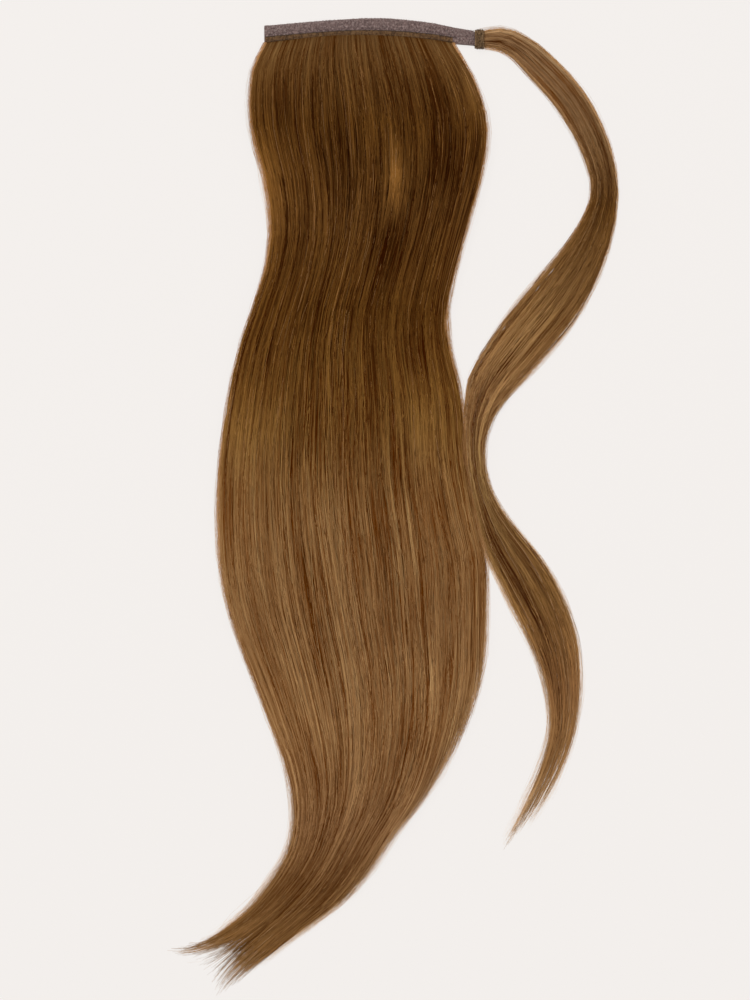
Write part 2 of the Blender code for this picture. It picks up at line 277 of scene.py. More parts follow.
STITCH_ROWS = (
    StitchRow(0.0, 0.8, 1.2, 1.2, 0.16),
    StitchRow(0.3, 0.8, -1.2, -1.2, 0.16),
    StitchRow(0.0, 0.45, -1.4, 1.4, 0.10),
    StitchRow(0.675, 0.25, -1.55, 0.775, 0.12),
)
WINDINGS = (
    Winding(-1.0, 1.0, 10.0, 0.0, 0.05),
    Winding(1.0, -0.6, 6.5, 0.3, 0.3),
    Winding(-0.7, 0.9, 4.2, 0.6, 0.45),
)
LIGHTS = (
    SoftLight("key_softbox", (-500.0, 900.0, 1500.0), 900.0, 14.0),
    SoftLight("fill_softbox", (900.0, -700.0, 1600.0), 1200.0, 6.0),
)
FALL_TIPS = tuple(TipLine(*row) for row in (
    (0.00, -120.0, -242.0, 0.036),
    (0.12, -139.0, -249.5, 0.012),
    (0.24, -138.0, -252.5, 0.006),
    (0.33, -131.0, -256.0, 0.010),
    (0.40, -119.0, -264.0, 0.014),
    (0.48, -110.0, -273.0, 0.008),
    (0.60, -105.0, -279.5, 0.004),
    (0.76, -103.5, -282.0, 0.000),
    (1.00, -98.0, -277.0, 0.012),
))
STRAND_TIPS = tuple(TipLine(*row) for row in (
    (0.00, 57.0, -195.0, 0.010),
    (0.50, 58.0, -201.0, 0.000),
    (0.80, 66.0, -196.0, 0.016),
    (1.00, 77.0, -183.0, 0.030),
))
# Painted light on the fall: lighter rows are painted highlights, such as the bright hot spot, and
# darker rows are painted shade.
FALL_PAINTED_LIGHT = tuple(PaintedLightSpot(*row) for row in (
    (-2, 184, 4, 17, 1.4),
    (-12, 216, 7, 14, 0.25),
    (-2, 146, 12, 16, -0.3),
    (-28, 190, 7, 60, -0.22),
    (-76, 190, 6, 22, 0.5),
    (-70, 230, 12, 12, -0.3),
    (40, 229, 7, 16, 0.3),
    (28, 205, 12, 26, -0.22),
    (30, 150, 14, 30, -0.22),
    (14, 96, 9, 26, -0.18),
    (36, 60, 6, 20, -0.2),
    (14, 44, 9, 22, 0.22),
    (2, 22, 8, 15, -0.12),
    (-88, 42, 18, 16, 0.3),
    (-46, 44, 14, 20, -0.26),
    (-97, 3, 7, 22, -0.2),
    (46, -30, 7, 60, -0.28),
    (24, -85, 9, 45, -0.08),
    (7, -85, 7, 24, 0.28),
    (-44, -78, 7, 30, -0.2),
    (-82, -95, 7, 28, -0.22),
    (14, -140, 8, 16, -0.2),
    (-58, -218, 12, 12, -0.2),
    (15, 232, 16, 12, -0.2),
    (-70, 212, 10, 12, -0.18),
    (28, 187, 10, 10, -0.15),
    (-72, 170, 4, 26, 0.25),
    (-61, 144, 6, 14, -0.2),
    (11, 54, 9, 14, 0.2),
    (-10, 40, 9, 22, 0.16),
    (-18, -23, 6, 20, -0.36),
    (-44, -9, 8, 16, 0.2),
    (24, 0, 12, 10, -0.15),
    (32, -60, 8, 18, -0.22),
    (-23, -90, 14, 18, 0.15),
    (-44, -172, 9, 20, 0.16),
    (-40, 146, 6, 16, 0.16),
    (-36, 60, 6, 16, -0.12),
    (-17, 110, 8, 14, 0.12),
    (5, -100, 10, 14, 0.12),
))
# Painted light on the strand: darker rows are painted shade, such as the gaps between locks by its
# root, and the lighter row is a painted highlight.
STRAND_PAINTED_LIGHT = tuple(PaintedLightSpot(*row) for row in (
    (55.5, 262.4, 5, 1.3, -0.8),
    (64, 258.6, 5, 1.6, -0.5),
    (58, 267.5, 8, 2, 0.35),
    (45, 40, 3, 30, -0.15),
))


def linear_colour(hex_colour: str) -> tuple[float, float, float, float]:
    """Turns an sRGB hex colour to a linear one.

    Args:
        hex_colour: The colour, such as "#7A6561".

    Returns:
        Linear red, green and blue, and an alpha of 1.
    """
    values = [int(hex_colour[i : i + 2], 16) / 255 for i in (1, 3, 5)]
    red, green, blue = (v / 12.92 if v <= 0.04045 else ((v + 0.055) / 1.055) ** 2.4 for v in values)
    return (red, green, blue, 1.0)


def add_node(tree: NodeTree, kind: str, inputs: Optional[dict] = None, **settings) -> Node:
    """Adds a node with its settings and links.

    Args:
        tree: The material's or world's node tree.
        kind: The node's type, less its first words "ShaderNode".
        inputs: Sockets to link from, or values to set, by the input's name or number.
        **settings: The node's own properties.

    Returns:
        The new node.
    """
    node = tree.nodes.new("ShaderNode" + kind)
    for name, value in settings.items():
        setattr(node, name, value)
    for name, value in (inputs or {}).items():
        if isinstance(value, NodeSocket):
            tree.links.new(value, node.inputs[name])
        else:
            node.inputs[name].default_value = value
    return node


def new_material(name: str) -> tuple[Material, NodeTree]:
    """Makes an empty material.

    Args:
        name: The material's name.

    Returns:
        The material and its node tree.
    """
    material = bpy.data.materials.new(name)
    material.use_nodes = True
    tree = material.node_tree
    tree.nodes.clear()
    return material, tree


def add_ramp(tree: NodeTree, place: NodeSocket, stops: Sequence[tuple[float, str]]) -> NodeSocket:
    """Adds a colour ramp.

    Args:
        tree: The material's node tree.
        place: What the ramp reads.
        stops: Pairs of a place from 0 to 1 and an sRGB hex colour.

    Returns:
        The ramp's colour.
    """
    node = add_node(tree, "ValToRGB", {"Fac": place})
    elements = node.color_ramp.elements
    while len(elements) < len(stops):
        elements.new(0.5)
    for element, (place, colour) in zip(elements, stops):
        element.position = place
        element.color = linear_colour(colour)
    return node.outputs["Color"]


@dataclass(frozen=True)
class HairFinish:
    """Human-hair fibre, steamed straight and dyed: fine and satin, dark roots to light tips, with
    painted sheen.
    """

    # Fine streaks along each fibre, over tones from dark to light, give the eye combed, silky hair.
    name: str
    stops: tuple[FibreColourAndPaintedLight, ...]
    roughness: float = 0.45
    gloss: float = 0.03
    gloss_colour: str = "#D9A066"
    fleck_mm: float = 0.5
    fleck_length_mm: float = 30.0
    fleck_contrast: float = 0.45
    brightest: float = 1.8

    def build(self) -> Material:
        """Makes the material, which reads each fibre's place along the hair and its own tone."""
        material, tree = new_material(self.name)
        along = add_node(tree, "Attribute", attribute_name="along").outputs["Fac"]
        tone = add_node(tree, "Attribute", attribute_name="tone")
        flow = add_node(tree, "Attribute", attribute_name="flow")
        dark = add_ramp(tree, along, [(stop.place, stop.dark) for stop in self.stops])
        light = add_ramp(tree, along, [(stop.place, stop.light) for stop in self.stops])
        scale = (1 / self.fleck_mm, 1 / self.fleck_length_mm, 1.0)
        streaks = add_node(
            tree, "VectorMath", {0: flow.outputs["Vector"], 1: scale}, operation="MULTIPLY"
        )
        flecks = add_node(
            tree, "TexNoise", {"Vector": streaks.outputs[0], "Scale": 1.0, "Detail": 3.0}
        )
        centred = add_node(tree, "Math", {0: flecks.outputs["Fac"], 1: 0.5}, operation="SUBTRACT")
        parts = {0: centred.outputs["Value"], 1: self.fleck_contrast, 2: tone.outputs["Fac"]}
        lightness = add_node(tree, "Math", parts, operation="MULTIPLY_ADD")
        # Tones above 1, from painted highlights and the lightest chance fibres, carry the colour
        # past the light stop.
        kept = add_node(
            tree, "Clamp", {"Value": lightness.outputs["Value"], "Min": 0.0, "Max": self.brightest}
        )
        parts = {0: kept.outputs["Result"], 6: dark, 7: light}
        colour = add_node(tree, "Mix", parts, data_type="RGBA", clamp_factor=False)
        shader = add_node(
            tree,
            "BsdfPrincipled",
            {
                "Base Color": colour.outputs[2],
                "Roughness": self.roughness,
                "IOR": 1.55,
                "Specular IOR Level": self.gloss,
                "Specular Tint": linear_colour(self.gloss_colour),
            },
        )
        add_node(tree, "OutputMaterial", {"Surface": shader.outputs["BSDF"]})
        return material


@dataclass(frozen=True)
class ThreadFinish:
    """Spun polyester thread or napped yarn: matt, with a soft nap and uneven dye."""

    name: str
    dark: str
    middle: str
    light: str
    mottle_mm: float
    fibre_mm: float
    roughness: float = 0.9
    bump_mm: float = 0.12
    sheen: float = 0.25
    mottle_range: float = 0.2

    def build(self) -> Material:
        """Makes the material, mottled at two scales over the tone that its threads carry."""
        material, tree = new_material(self.name)
        place = add_node(tree, "TexCoord").outputs["Object"]
        tone = add_node(tree, "Attribute", attribute_name="tone")
        mottle = add_node(
            tree, "TexNoise", {"Vector": place, "Scale": 1 / (self.mottle_mm * MM), "Detail": 4.0}
        )
        lightness = add_node(
            tree, "Math", {0: mottle.outputs["Fac"], 1: tone.outputs["Fac"]}, operation="ADD"
        )
        low, high = 0.5 - self.mottle_range, 0.5 + self.mottle_range
        stops = ((low, self.dark), (0.5, self.middle), (high, self.light))
        colour = add_ramp(tree, lightness.outputs["Value"], stops)
        fibres = add_node(
            tree, "TexNoise", {"Vector": place, "Scale": 1 / (self.fibre_mm * MM), "Detail": 2.0}
        )
        nap = {"Height": fibres.outputs["Fac"], "Distance": self.bump_mm * MM}
        bump = add_node(tree, "Bump", nap)
        shader = add_node(
            tree,
            "BsdfPrincipled",
            {
                "Base Color": colour,
                "Roughness": self.roughness,
                "Specular IOR Level": 0.25,
                "Sheen Weight": self.sheen,
                "Normal": bump.outputs["Normal"],
            },
        )
        add_node(tree, "OutputMaterial", {"Surface": shader.outputs["BSDF"]})
        return material


@dataclass(frozen=True)
class FloorFinish:
    """Matt paper sweep, lit from all sides so that it keeps almost no shadow."""

    # Its own faint light gives the eye an even pale ground with hardly a shadow.
    colour: str
    glow: float

    def build(self) -> Material:
        """Makes the material, part matt paper and part its own soft light."""
        material, tree = new_material("paper_sweep")
        colour = linear_colour(self.colour)
        matt = add_node(tree, "BsdfDiffuse", {"Color": colour})
        glow = add_node(tree, "Emission", {"Color": colour, "Strength": 1.0})
        parts = {0: self.glow, 1: matt.outputs["BSDF"], 2: glow.outputs["Emission"]}
        both = add_node(tree, "MixShader", parts)
        add_node(tree, "OutputMaterial", {"Surface": both.outputs["Shader"]})
        return material


def smooth_step(low: float, high: float, value: Array) -> Array:
    """A smooth rise from 0 at low to 1 at high."""
    share = np.clip((value - low) / (high - low), 0.0, 1.0)
    return share * share * (3.0 - 2.0 * share)


def smooth_through(rows: Array, along: Array, where: Array) -> Array:
    """Reads a table on a smooth curve through its rows, and straight on beyond its ends.

    Args:
        rows: The table, a row for each place.
        along: The rows' places, rising.
        where: The places to read, in any shape.

    Returns:
        The values, in that shape with the table's columns last.
    """
    slopes = np.empty_like(rows)
    slopes[1:-1] = (rows[2:] - rows[:-2]) / (along[2:] - along[:-2])[:, None]
    slopes[0] = (rows[1] - rows[0]) / (along[1] - along[0])
    slopes[-1] = (rows[-1] - rows[-2]) / (along[-1] - along[-2])
    inside = np.clip(where, along[0], along[-1])
    i = np.clip(np.searchsorted(along, inside, side="right") - 1, 0, len(along) - 2)
    span = (along[i + 1] - along[i])[..., None]
    t = (inside - along[i])[..., None] / span
    value = (
        (2 * t**3 - 3 * t**2 + 1) * rows[i]
        + (t**3 - 2 * t**2 + t) * span * slopes[i]
        + (3 * t**2 - 2 * t**3) * rows[i + 1]
        + (t**3 - t**2) * span * slopes[i + 1]
    )
    beyond = (where - inside)[..., None]
    return value + beyond * np.where(beyond > 0, slopes[-1], slopes[0])


def unit(vectors: Array) -> Array:
    """The vectors at length 1."""
    return vectors / np.maximum(np.linalg.norm(vectors, axis=-1, keepdims=True), 1e-9)


def run_along(points: Array) -> Array:
    """How far along a line of points each of them lies."""
    return np.concatenate([[0.0], np.linalg.norm(np.diff(points, axis=0), axis=1).cumsum()])


def tape_at(x: Array) -> Array:
    """The tape's upper edge, the depth of its pile and its whole width at x."""
    rows = np.array(TAPE_ROWS)
    return np.moveaxis(smooth_through(rows[:, 1:], rows[:, 0], x), -1, 0)


def mesh_object(
    piece: Piece, points: Array, faces: Array, caps: Array, **attributes: Array
) -> Object:
    """Makes an object of four-sided faces and three-sided caps.

    Args:
        piece: The piece's name.
        points: Its points, in millimetres.
        faces: Four point numbers a face.
        caps: Three point numbers a cap.
        **attributes: A value, or three, for each point.

    Returns:
        The object, shaded smooth.
    """
    mesh = bpy.data.meshes.new(piece.value)
    corners = np.concatenate([faces.ravel(), caps.ravel()]).astype(np.int32)
    sizes = np.concatenate([np.full(len(faces), 4), np.full(len(caps), 3)]).astype(np.int32)
    mesh.vertices.add(len(points))
    mesh.vertices.foreach_set("co", (points * MM).astype(np.float32).ravel())
    mesh.loops.add(len(corners))
    mesh.loops.foreach_set("vertex_index", corners)
    mesh.polygons.add(len(sizes))
    mesh.polygons.foreach_set("loop_start", (np.cumsum(sizes) - sizes).astype(np.int32))
    mesh.update(calc_edges=True)
    mesh.validate()
    mesh.shade_smooth()
    for name, values in attributes.items():
        vector = values.ndim == 2
        made = mesh.attributes.new(name, "FLOAT_VECTOR" if vector else "FLOAT", "POINT")
        made.data.foreach_set("vector" if vector else "value", values.astype(np.float32).ravel())
    made_object = bpy.data.objects.new(piece.value, mesh)
    bpy.context.scene.collection.objects.link(made_object)
    return made_object


def chance_field(across: Array, along: Array, rng: Chance) -> Array:
    """Smooth chance values over a plane, the same for points that lie close together.

    Args:
        across: Places across, in the field's own cells.
        along: Places along, in cells.
        rng: The source of chance.

    Returns:
        A value for each point, mostly between -1 and 1.
    """
    across, along = across - across.min(), along - along.min()
    grid = rng.normal(0.0, FIELD_STRENGTH, (int(across.max()) + 2, int(along.max()) + 2))
    i, j = across.astype(int), along.astype(int)
    a, b = smooth_step(0.0, 1.0, across - i), smooth_step(0.0, 1.0, along - j)
    low = grid[i, j] * (1 - a) + grid[i + 1, j] * a
    high = grid[i, j + 1] * (1 - a) + grid[i + 1, j + 1] * a
    return low * (1 - b) + high * b


@dataclass
class Strands:
    """Many thin fibres: each one's line, its thickness, its tone and its place along the hair."""

    paths: Array
    radii: Array
    tone: Array
    along: Array

    def share(self, number: int, count: int) -> "Strands":
        """Every count-th fibre, starting at the given number."""
        parts = (a[number::count] for a in (self.paths, self.radii, self.tone, self.along))
        return Strands(*parts)

    def build(self, piece: Piece, sides: int = 3, reference: Optional[Array] = None) -> Object:
        """Makes one mesh of closed tapered tubes.

        Args:
            piece: The piece's name.
            sides: Sides of each tube.
            reference: A direction for each fibre that its line never follows, +Z if left out.

        Returns:
            The object, with the attributes tone, along and flow.
        """
        count, steps = self.paths.shape[:2]
        up = np.zeros((count, 3)) + (0.0, 0.0, 1.0) if reference is None else reference
        tangent = unit(np.gradient(self.paths, axis=1))
        side = unit(np.cross(np.broadcast_to(up[:, None], tangent.shape), tangent))
        normal = np.cross(tangent, side)
        angle = 2 * math.pi * np.arange(sides) / sides
        ring = (
            np.cos(angle)[:, None] * side[:, :, None] + np.sin(angle)[:, None] * normal[:, :, None]
        ) * self.radii[:, :, None, None]
        points = (self.paths[:, :, None] + ring).reshape(-1, 3)
        number = np.arange(count * steps * sides).reshape(count, steps, sides)
        following = np.roll(number, -1, axis=2)
        faces = np.stack(
            [number[:, :-1], following[:, :-1], following[:, 1:], number[:, 1:]], axis=-1
        ).reshape(-1, 4)
        fans = [number[:, 0, [0, k + 1, k]] for k in range(1, sides - 1)]
        fans += [number[:, -1, [0, k, k + 1]] for k in range(1, sides - 1)]
        caps = np.concatenate(fans)
        run = np.linalg.norm(np.diff(self.paths, axis=1), axis=-1).cumsum(axis=1)
        flow = np.zeros((count, steps, 3))
        flow[:, :, 0] = np.arange(count)[:, None] * STREAK_SPACING_MM
        flow[:, 1:, 1] = run
        return mesh_object(
            piece,
            points,
            faces,
            caps,
            tone=np.repeat(self.tone.ravel(), sides),
            along=np.repeat(self.along.ravel(), sides),
            flow=np.repeat(flow.reshape(-1, 3), sides, axis=0),
        )


@dataclass
class HairFlow:
    """Where combed hair lies, between its two edges, from the root to its last section."""

    rows: Array
    bow_height: float = 0.0
    inset: float = 1.9
    root_fullness: float = 1.0
    snug_left: Pair = (2.0, 2.0)
    snug_right: Pair = (2.0, 2.0)
    most_inset: float = 0.14
    root_inset: float = 0.15
    root_run: float = 0.06
    fullest_at: float = 0.10
    fullest_run: float = 0.08
    snug_share: float = 0.9
    snug_run: float = 0.05
    least_crown: float = 0.6
    edge_height_share: float = 0.28
    crown_power: float = 2.4
    crown_roundness: float = 0.6
    underside_power: float = 8.0
    along: Array = field(init=False)
    widths: Array = field(init=False)
    length: float = field(init=False)

    def __post_init__(self) -> None:
        """Measures the line through the middles of the sections."""
        self.along = run_along((self.rows[:, 0:2] + self.rows[:, 2:4]) / 2)
        self.widths = np.linalg.norm(self.rows[:, 2:4] - self.rows[:, 0:2], axis=1)
        self.length = float(self.along[-1])

    def snug(self, t: Array, first: float, last: float) -> Array:
        """How far, from 0 to 1, the hair keeps to its edge because a neighbour lies against it."""
        begun = smooth_step(first - self.snug_run, first, t)
        return begun * (1 - smooth_step(last, last + self.snug_run, t))

    def surface(self, u: Array, t: Array) -> tuple[Array, ...]:
        """Finds places on the hair's outside, a little inside its softest edge.

        Args:
            u: Places across, 0 at the left edge and 1 at the right.
            t: Places along, 0 at the root and 1 at the last section.

        Returns:
            X, Y, and the height of the top and of the underside.
        """
        row = smooth_through(self.rows, self.along, t * self.length)
        left_x, left_y, right_x, right_y, crown, under, bow = np.moveaxis(row, -1, 0)
        crown, under = np.maximum(crown, self.least_crown), np.maximum(under, 0.0)
        width = np.hypot(right_x - left_x, right_y - left_y)
        grown = self.root_inset + (1 - self.root_inset) * smooth_step(0.0, self.root_run, t)
        inset = np.minimum(self.inset / width, self.most_inset) * grown
        fullness = np.exp(-(((t - self.fullest_at) / self.fullest_run) ** 2))
        inset = inset * (1 + self.root_fullness * fullness)
        left = inset * (1 - self.snug_share * self.snug(t, *self.snug_left))
        right = inset * (1 - self.snug_share * self.snug(t, *self.snug_right))
        u = left + (1 - left - right) * u
        x = left_x + (right_x - left_x) * u
        y = left_y + (right_y - left_y) * u + bow * self.bow_height * 4 * u * (1 - u)
        side = np.clip(np.abs(2 * u - 1), 0.0, 1.0)
        edge = under + self.edge_height_share * crown
        top = edge + (under + crown - edge) * (1 - side**self.crown_power) ** self.crown_roundness
        bottom = edge - (edge - under) * (1 - side**self.underside_power) ** 0.5
        return x, y, top, bottom


def edges_of(rows: Sequence[StrandRow], steps: int = 4) -> Array:
    """Turns a strand's middles and widths to its two edges.

    Args:
        rows: The strand's sections.
        steps: New sections for each of them, so that the edges follow the bends.

    Returns:
        Rows of left x and y, right x and y, crown, under and a bow of 0.
    """
    table = np.array(rows, float)
    along = run_along(table[:, 0:2])
    where = np.interp(np.arange((len(rows) - 1) * steps + 1) / steps, np.arange(len(rows)), along)
    fine = smooth_through(table, along, where)
    heading = unit(np.gradient(fine[:, 0:2], axis=0))
    across = np.stack([heading[:, 1], -heading[:, 0]], axis=1) * fine[:, 2:3] / 2
    middle, bow = fine[:, 0:2], np.zeros((len(fine), 1))
    return np.concatenate([middle + across, middle - across, fine[:, 3:5], bow], axis=1)


@dataclass(frozen=True)
class CombStyle:
    """How combed hair lies and varies, in shares of its length and width where no unit is named."""

    layer_shorter: float = 0.012
    layer_ragged: float = 0.02
    least_reach: float = 0.2
    rim: float = 0.002
    long_spread: Pair = (1.0, 2.2)
    short_power: float = 1.4
    past_all: float = 9.0
    gathered: float = 0.22
    bunch_pull: float = 0.8
    bunch_drift: float = 0.45
    bunch_drift_cells: float = 5.0
    bunch_drift_changes: float = 6.0
    root_pull: float = 0.13
    root_unevenness: float = 2.5
    root_cell_mm: float = 4.0
    root_changes: float = 4.0
    root_end: Pair = (0.01, 0.05)
    overlap_run: float = 0.03
    grown_run: float = 0.06
    lock_run: float = 0.1
    edge_steepness: float = 8.0
    lock_mixing: float = 0.35
    sway_cycles: tuple[float, ...] = (0.8, 1.7, 3.1)
    crossing_cycles: Pair = (1.0, 3.0)
    wave_cycles_mm: Pair = (1.7, 0.35)
    ripple_cycles_mm: Pair = (4.1, 0.3)
    tip_bend: float = 3.6
    fibre_contrast: float = 0.22
    # Painted shade on deep fibres and painted light on the tops of bunches.
    depth_shade: float = 0.05
    deepest_mm: float = 4.0
    painted_ridge_light: float = 0.08
    painted_tip_backlight: float = 0.45
    lightens_from: float = 0.92
    veil_cycles: tuple[float, ...] = (2.3, 5.1, 9.7)
    veil_most: float = 2.4
    veil_tucked: float = 0.5
    veil_wave: float = 0.5
    veil_looser: float = 0.8
    veil_loosens: Pair = (0.6, 0.95)
    veil_widths: Pair = (0.6, 2.5)
    stray_places: Pair = (0.12, 1.0)
    stray_sizes: Pair = (0.1, 1.0)
    stray_run: float = 0.06
    fan: float = 0.06
    ridge_mm: float = 0.3
    thinner_tip: float = 0.75
    thins_from: float = 0.90
    thicknesses: Pair = (0.7, 1.3)
    least_radius_mm: float = 0.025
    least_depth: float = 0.05


@dataclass
class HairBody:
    """A body of hair: a soft inner form with combed strands over it and a few strays.

    The sizes that are given here are the main fall's.
    """

    flow: HairFlow
    tips: tuple[TipLine, ...]
    node: str
    slot: str
    form_piece: Piece
    finish: HairFinish
    loose_finish: HairFinish
    layers: tuple[FibreLayer, ...]
    steps: int = 33
    bunch_mm: tuple[float, ...] = (1.3, 3.6)
    lock_mm: float = 8.0
    lock_drift_mm: float = 2.4
    streaks: tuple[StreakLayer, ...] = (
        StreakLayer(0.5, 30.0, 0.36),
        StreakLayer(0.9, 90.0, 0.27),
        StreakLayer(8.0, 60.0, 0.10),
    )
    root_gap_mm: float = 2.4
    root_overlap_mm: float = 1.3
    crossing_share: float = 0.3
    crossing_mm: float = 3.0
    spread_start: float = 0.64
    spread_end: float = 1.05
    spread_gain: float = 0.35
    spread_centre: float = 0.0
    form_reach: float = 0.97
    tip_start: float = 0.92
    body_reach: float = 1.05
    tip_reach: float = 1.11
    reach_loss: float = 0.06
    depth_mm: float = 0.9
    full_crown: float = 18.0
    # Painted light at the edges: how far in it reaches and how strong it is.
    edge_mm: float = 2.6
    painted_edge_backlight: float = 0.2
    veil_mm: float = 1.0
    form_sections: int = 100
    form_sides: int = 48
    form_start: float = 0.002
    form_inset_mm: float = 1.6
    form_sink_mm: float = 1.8
    form_least_sink: float = 0.1
    form_lift_mm: float = 0.25
    form_end_share: float = 0.85
    form_narrowing: float = 0.22
    form_flattening: float = 0.85
    skin_mm: float = 0.2
    style: CombStyle = CombStyle()
    # Painted highlights and painted shade laid into the fibres' tone.
    painted_light_spots: tuple[PaintedLightSpot, ...] = ()

    def spread(self, t: Array) -> Array:
        """How much wider the combed lines lie than the outline, where the ends are layered."""
        return 1.0 + self.spread_gain * smooth_step(self.spread_start, self.spread_end, t)

    def width(self) -> float:
        """The hair's usual width in millimetres."""
        return float(np.median(self.flow.widths))

    def reaches(self, u: Array, layer: FibreLayer, rng: Chance) -> Array:
        """How far along each strand ends, layered along the outline and ragged at the tips.

        Args:
            u: Each strand's place across.
            layer: The layer that it belongs to.
            rng: The source of chance.

        Returns:
            The place along where each one ends.
        """
        style = self.style
        u = np.clip(u, style.rim, 1 - style.rim)
        shares, _, _, shorter = np.array(self.tips).T
        past_body = rng.beta(*style.long_spread, len(u)) * (self.tip_reach - self.body_reach)
        long = self.body_reach + past_body
        short = self.body_reach - rng.random(len(u)) ** style.short_power * self.reach_loss
        ragged = np.where(rng.random(len(u)) < layer.long_share, long, short)
        if layer.place is Place.EDGES:
            return ragged - np.interp(u, shares, shorter)
        ragged = ragged - np.interp(np.clip(u * (1 + self.spread_gain), 0, 1), shares, shorter)
        t = np.linspace(0.0, 1.0, 200)
        wide = self.spread(t)
        high = self.spread_centre + (1 - self.spread_centre) / wide
        low = self.spread_centre - self.spread_centre / wide
        right = np.where(u > high[-1], np.interp(-u, -high, t), style.past_all)
        left = np.where(u < low[-1], np.interp(u, low, t), style.past_all)
        uneven = rng.normal(-style.layer_shorter, style.layer_ragged, len(u))
        layered = np.minimum(left, right) + uneven
        return np.clip(np.minimum(layered, ragged), style.least_reach, self.tip_reach)

    def wander(self, u: Array, t: Array, rng: Chance) -> tuple[Array, Array]:
        """Gathers the strands in bunches, and in locks that drift across each other.

        Args:
            u: Each strand's place across, as a column.
            t: Its places along.
            rng: The source of chance.

        Returns:
            Each point's shift across, and how high on its bunch it lies, from -1 to 1.
        """
        style, width = self.style, self.width()
        shift, ridge = np.zeros_like(t), np.zeros_like(t)
        grown = smooth_step(0.0, style.grown_run, t)
        for size in self.bunch_mm:
            waves = width / size
            cells = u * waves / style.bunch_drift_cells + 0 * t
            drift = chance_field(cells, t * style.bunch_drift_changes, rng)
            phase = 2 * math.pi * (waves * u + style.bunch_drift * drift)
            shift -= grown * style.bunch_pull / (2 * math.pi * waves) * np.sin(phase)
            ridge += grown * np.cos(phase) / len(self.bunch_mm)
        cells = u * width / style.root_cell_mm + 0 * t
        uneven = style.root_unevenness * chance_field(cells, t * style.root_changes, rng)
        roots = 2 * math.pi * u * width / self.root_gap_mm + uneven
        near_root = 1 - smooth_step(*style.root_end, t)
        shift -= near_root * style.root_pull * self.root_gap_mm / width * np.sin(roots)
        ridge += near_root * np.cos(roots)
        locks = max(2, round(width / self.lock_mm))
        mixed = u + rng.normal(0, style.lock_mixing / locks, u.shape)
        lock = np.clip(mixed * locks, 0, locks - 1e-6).astype(int)
        sway = np.zeros_like(t)
        for cycles in style.sway_cycles:
            phases, sizes = rng.random(locks), rng.normal(0, 1 / (1 + cycles), locks)
            sway += sizes[lock] * np.sin(2 * math.pi * (cycles * t + phases[lock]))
        inside = np.clip(np.minimum(u, 1 - u) * style.edge_steepness, 0, 1)
        shift += smooth_step(0.0, style.lock_run, t) * inside * self.lock_drift_mm / width * sway
        crossing = inside * self.crossing_mm * (rng.random(u.shape) < self.crossing_share)
        crossing_cycles = rng.uniform(*style.crossing_cycles, u.shape)
        waves = ((crossing_cycles, crossing), style.wave_cycles_mm, style.ripple_cycles_mm)
        for cycles, reach in waves:
            size = reach * rng.normal(0, 1, u.shape) / width
            shift += grown * size * np.sin(2 * math.pi * (cycles * t + rng.random(u.shape)))
        return shift, ridge

    def tip_shift(self, across: Array, t: Array) -> tuple[Array, Array]:
        """How far each point is led aside from the plain flow, so that the tips bend to their ends.

        Args:
            across: Each point's place across the hair.
            t: Its place along.

        Returns:
            The shifts in X and Y.
        """
        shares, end_x, end_y = np.array(self.tips)[:, :3].T
        last = np.full(across.shape, self.tip_reach)
        past = (t - self.tip_start) / (self.tip_reach - self.tip_start)
        bent = np.clip(past, 0.0, 1.0) ** self.style.tip_bend
        held = np.clip(across, 0.0, 1.0)
        rim_x, rim_y, _, _ = self.flow.surface(held, last)
        led_x = np.interp(held, shares, end_x) - rim_x
        led_y = np.interp(held, shares, end_y) - rim_y
        return led_x * bent, led_y * bent

    def tones(self, u: Array, t: Array, ridge: Array, depth: Array, rng: Chance) -> Array:
        """Works out how light each point of each strand is, from 0, dark, to 1, light.

        Args:
            u: Each strand's place across, as a column.
            t: Its places along.
            ridge: How high on its bunch each point lies.
            depth: How deep each strand lies.
            rng: The source of chance.

        Returns:
            The tones.
        """
        style, width = self.style, self.width()
        tone = 0.5 + rng.normal(0, style.fibre_contrast, u.shape)
        # Painted shade and light: deeper fibres are darker where the fibres over them shade them,
        # and fibres high on a bunch are lighter where light falls on them.
        shade = style.depth_shade * np.minimum(depth, style.deepest_mm)
        tone = tone - shade + style.painted_ridge_light * ridge
        for layer in self.streaks:
            cells = u * width / layer.width_mm + 0 * t
            places = t * self.flow.length / layer.length_mm
            tone = tone + layer.strength * chance_field(cells, places, rng)
        # Painted light: fibres near the edges are lighter, standing in for light shining through
        # the thin hair at the outline.
        from_edge = np.maximum(np.minimum(u, 1 - u), 0) * width
        tone = tone + self.painted_edge_backlight * np.exp(-from_edge / self.edge_mm)
        # Painted light: the last part of each fibre is lighter, standing in for light shining
        # through its thin end.
        return tone + style.painted_tip_backlight * smooth_step(style.lightens_from, 1.0, t / t[:, -1:])

    def starts(self, layer: FibreLayer, rng: Chance) -> Array:
        """Where across the root a layer's fibres start, as a column from 0, left, to 1, right."""
        style = self.style
        if layer.place is Place.EDGES:
            spaced = np.minimum(rng.exponential(1.0, layer.count), style.veil_most)
            outward = (spaced - style.veil_tucked) * self.veil_mm / self.width()
            return np.where(rng.random(layer.count) < 0.5, -outward, 1 + outward)[:, None]
        even = (np.arange(layer.count) + rng.random(layer.count)) / layer.count
        eased = 0.5 - 0.5 * np.cos(math.pi * even)
        return ((1 - style.gathered) * even + style.gathered * eased)[:, None]

